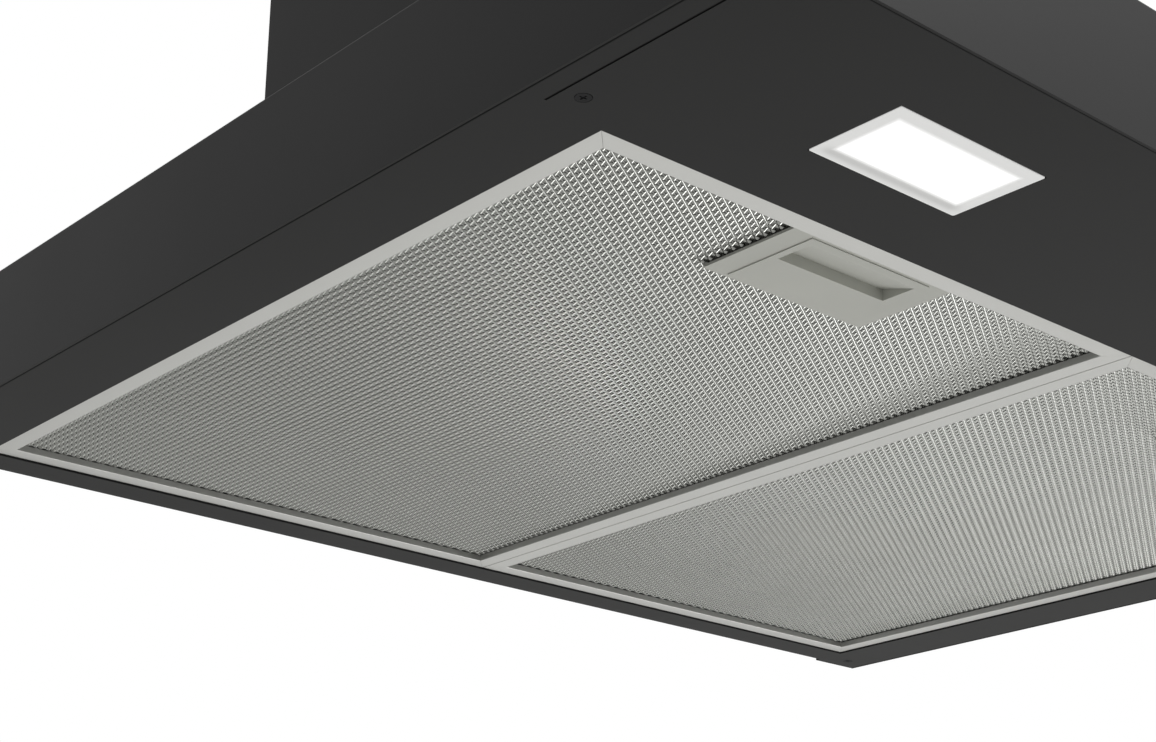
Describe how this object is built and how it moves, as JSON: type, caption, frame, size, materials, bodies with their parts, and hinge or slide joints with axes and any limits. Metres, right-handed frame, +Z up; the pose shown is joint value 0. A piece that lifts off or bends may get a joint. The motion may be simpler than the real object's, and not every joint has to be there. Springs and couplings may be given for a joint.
{
  "type": "chimney range hood",
  "caption": "Wall-hung chimney range hood: flat box canopy with two swing-down grease filters, lamps, push-buttons, blower, outlet with flaps and a telescopic chimney.",
  "frame": {"origin": "the centre between the two wall holes, on the surface of the wall", "axes": "+X to the right seen from the front, +Y into the wall, +Z up"},
  "size_m": [0.6, 0.5017, 0.7808],
  "materials": {
    "canopy_paint": "satin black powder coat",
    "chimney_paint": "satin black powder coat",
    "filter_aluminium": "satin",
    "mesh_aluminium": "bright expanded sheet",
    "latch_grey": "satin grey",
    "spring_steel": "bright",
    "galvanised": "galvanised sheet",
    "screw_steel": "zinc plated",
    "black_screw": "black zinc",
    "lamp_opal": "opal",
    "lamp_tray": "white",
    "circuit": "circuit board",
    "fan_plastic": "black moulded",
    "casing_plastic": "grey moulded",
    "motor_steel": "plain steel",
    "bronze": "sintered bronze",
    "capacitor_case": "white",
    "outlet_plastic": "black moulded",
    "button_plastic": "satin black",
    "gland_nylon": "black nylon"
  },
  "bodies": {
    "canopy": {"blower_box": "galvanised", "blower_casing_left": "casing_plastic", "blower_casing_right": "casing_plastic", "blower_lid": "galvanised", "cable_gland": "gland_nylon", "canopy_shell": "canopy_paint", "capacitor": "capacitor_case", "capacitor_clip": "galvanised", "chimney_feet": "galvanised", "chimney_lower": "chimney_paint", "collar_screws": "screw_steel", "control_bezel": "button_plastic", "control_board": "circuit", "electronics_tray": "casing_plastic", "flap_spindle": "screw_steel", "lamp_diffuser_left": "lamp_opal", "lamp_diffuser_right": "lamp_opal", "lamp_housing_left": "lamp_tray", "lamp_housing_right": "lamp_tray", "led_boards": "circuit", "motor": "motor_steel", "motor_bearings": "bronze", "motor_bracket": "galvanised", "outlet_collar": "outlet_plastic", "outlet_duct": "casing_plastic", "panel_brackets": "galvanised", "panel_screws": "black_screw", "rear_panel": "canopy_paint", "roof_screws": "screw_steel", "switch_board": "circuit", "terminal_block": "casing_plastic", "underside_panel": "canopy_paint", "wall_plate": "galvanised"},
    "filter_left": {"filter_frame_left": "filter_aluminium", "filter_mesh_lower_left": "mesh_aluminium", "filter_core_left": "mesh_aluminium", "filter_mesh_upper_left": "mesh_aluminium", "latch_housing_left": "latch_grey", "latch_springs_left": "spring_steel"},
    "latch_left": {"latch_slider_left": "latch_grey"},
    "filter_right": {"filter_frame_right": "filter_aluminium", "filter_mesh_lower_right": "mesh_aluminium", "filter_core_right": "mesh_aluminium", "filter_mesh_upper_right": "mesh_aluminium", "latch_housing_right": "latch_grey", "latch_springs_right": "spring_steel"},
    "latch_right": {"latch_slider_right": "latch_grey"},
    "button_light": {"button_light": "button_plastic"},
    "button_off": {"button_off": "button_plastic"},
    "button_low": {"button_low": "button_plastic"},
    "button_medium": {"button_medium": "button_plastic"},
    "button_high": {"button_high": "button_plastic"},
    "fan": {"impeller": "fan_plastic", "motor_shaft": "screw_steel"},
    "flap_front": {"flap_front": "outlet_plastic"},
    "flap_rear": {"flap_rear": "outlet_plastic"},
    "upper_chimney": {"chimney_upper": "chimney_paint", "chimney_bracket": "galvanised", "chimney_screws": "screw_steel"}
  },
  "joints": [
    {"name": "filter_left_swing", "type": "hinge", "parent": "canopy", "child": "filter_left", "pos_m": [-0.13315, -0.0225, -0.0973], "axis": [1, 0, 0], "range_deg": [0, 80]},
    {"name": "latch_left_slide", "type": "slide", "parent": "filter_left", "child": "latch_left", "axis": [0, 1, 0], "range_m": [0, 0.005], "stiffness_N_per_m": 400, "springref_m": -0.002},
    {"name": "filter_right_swing", "type": "hinge", "parent": "canopy", "child": "filter_right", "pos_m": [0.13315, -0.0225, -0.0973], "axis": [1, 0, 0], "range_deg": [0, 80]},
    {"name": "latch_right_slide", "type": "slide", "parent": "filter_right", "child": "latch_right", "axis": [0, 1, 0], "range_m": [0, 0.005], "stiffness_N_per_m": 400, "springref_m": -0.002},
    {"name": "fan_spin", "type": "hinge", "parent": "canopy", "child": "fan", "pos_m": [0, -0.14, 0.0576], "axis": [1, 0, 0], "continuous": true},
    {"name": "flap_front_swing", "type": "hinge", "parent": "canopy", "child": "flap_front", "pos_m": [0, -0.096, 0.214], "axis": [-1, 0, 0], "range_deg": [0, 72]},
    {"name": "flap_rear_swing", "type": "hinge", "parent": "canopy", "child": "flap_rear", "pos_m": [0, -0.096, 0.214], "axis": [1, 0, 0], "range_deg": [0, 72]},
    {"name": "button_light_press", "type": "slide", "parent": "canopy", "child": "button_light", "axis": [0, 1, 0], "range_m": [0, 0.0018], "stiffness_N_per_m": 500, "springref_m": -0.001},
    {"name": "button_off_press", "type": "slide", "parent": "canopy", "child": "button_off", "axis": [0, 1, 0], "range_m": [0, 0.0018], "stiffness_N_per_m": 500, "springref_m": -0.001},
    {"name": "button_low_press", "type": "slide", "parent": "canopy", "child": "button_low", "axis": [0, 1, 0], "range_m": [0, 0.0018], "stiffness_N_per_m": 500, "springref_m": -0.001},
    {"name": "button_medium_press", "type": "slide", "parent": "canopy", "child": "button_medium", "axis": [0, 1, 0], "range_m": [0, 0.0018], "stiffness_N_per_m": 500, "springref_m": -0.001},
    {"name": "button_high_press", "type": "slide", "parent": "canopy", "child": "button_high", "axis": [0, 1, 0], "range_m": [0, 0.0018], "stiffness_N_per_m": 500, "springref_m": -0.001},
    {"name": "chimney_slide", "type": "slide", "parent": "canopy", "child": "upper_chimney", "axis": [0, 0, 1], "range_m": [-0.15, 0.18]}
  ]
}
